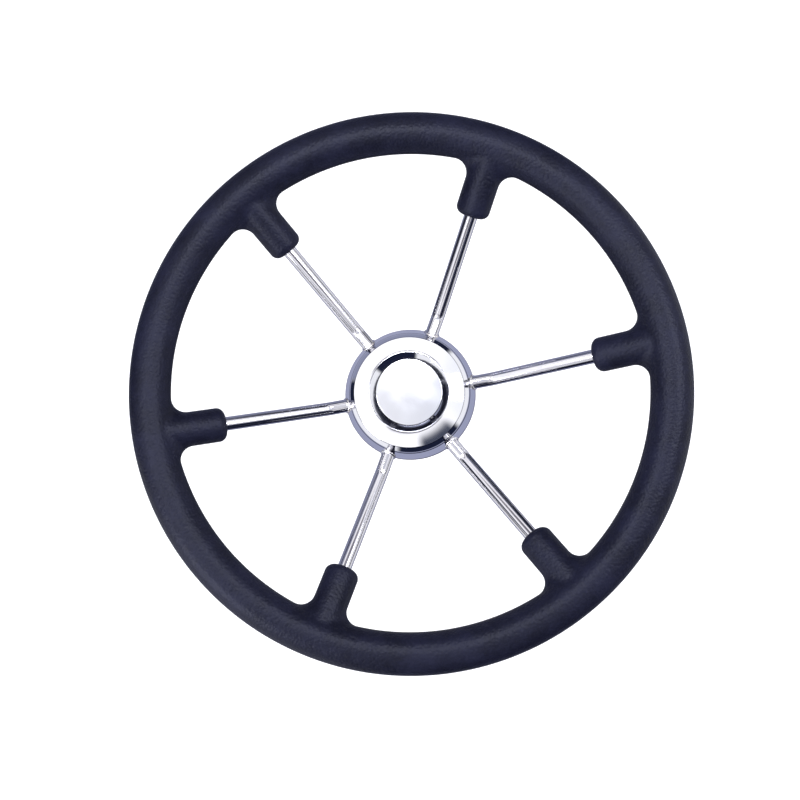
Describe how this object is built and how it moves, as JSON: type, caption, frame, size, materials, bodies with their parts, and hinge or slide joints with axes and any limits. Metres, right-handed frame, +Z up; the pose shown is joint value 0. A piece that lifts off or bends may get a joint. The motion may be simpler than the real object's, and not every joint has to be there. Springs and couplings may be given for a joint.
{
  "type": "ship steering wheel",
  "caption": "Boat steering wheel: foam-gripped round rim on dished polished rod spokes, with a drum hub, snap-in centre cap and tapered shaft bore.",
  "frame": {"origin": "centre of the hub boss's rear face, at the mouth of the shaft bore", "axes": "+Y along the shaft axis, back towards the helm; +Z up, through the keyway; +X to the helmsman's right"},
  "size_m": [0.35, 0.1048, 0.35],
  "materials": {
    "grip_foam": "satin, finely pebbled skin of a moulded foam grip",
    "polished_steel": "mirror polished stainless steel",
    "satin_disc": "satin stainless steel",
    "turned_steel": "turned, fine lathe marks",
    "inner_steel": "plain rod, hidden inside the grip",
    "weld_steel": "brushed weld bead",
    "fastener_steel": "plain stainless fastener",
    "seal_rubber": "matte black seal"
  },
  "bodies": {
    "wheel": {"rim_grip": "grip_foam", "rim_core_ring": "inner_steel", "core_ring_weld": "inner_steel", "spoke_1": "polished_steel", "spoke_2": "polished_steel", "spoke_3": "polished_steel", "spoke_4": "polished_steel", "spoke_5": "polished_steel", "spoke_6": "polished_steel", "rim_weld_1": "inner_steel", "rim_weld_2": "inner_steel", "rim_weld_3": "inner_steel", "rim_weld_4": "inner_steel", "rim_weld_5": "inner_steel", "rim_weld_6": "inner_steel", "hub_weld_1": "weld_steel", "hub_weld_2": "weld_steel", "hub_weld_3": "weld_steel", "hub_weld_4": "weld_steel", "hub_weld_5": "weld_steel", "hub_weld_6": "weld_steel", "hub_drum": "polished_steel", "hub_boss": "turned_steel", "boss_weld": "weld_steel"},
    "cap": {"centre_cap": "polished_steel", "cap_disc": "satin_disc", "cap_o_ring": "seal_rubber"},
    "washers": {"shaft_washer": "fastener_steel", "lock_washer": "fastener_steel"},
    "nut": {"shaft_nut": "fastener_steel"}
  },
  "joints": [
    {"name": "cap_pull", "type": "slide", "parent": "wheel", "child": "cap", "axis": [0, -1, 0], "range_m": [0, 0.03]},
    {"name": "nut_lift", "type": "slide", "parent": "wheel", "child": "washers", "axis": [0, -1, 0], "range_m": [0, 0.0085]},
    {"name": "nut_turn", "type": "hinge", "parent": "washers", "child": "nut", "pos_m": [0, -0.037, 0], "axis": [0, -1, 0], "range_deg": [0, 2160]}
  ],
  "couplings": [
    {"joint": "nut_lift", "follows": "nut_turn", "m_per_rad": 0.00022459}
  ]
}
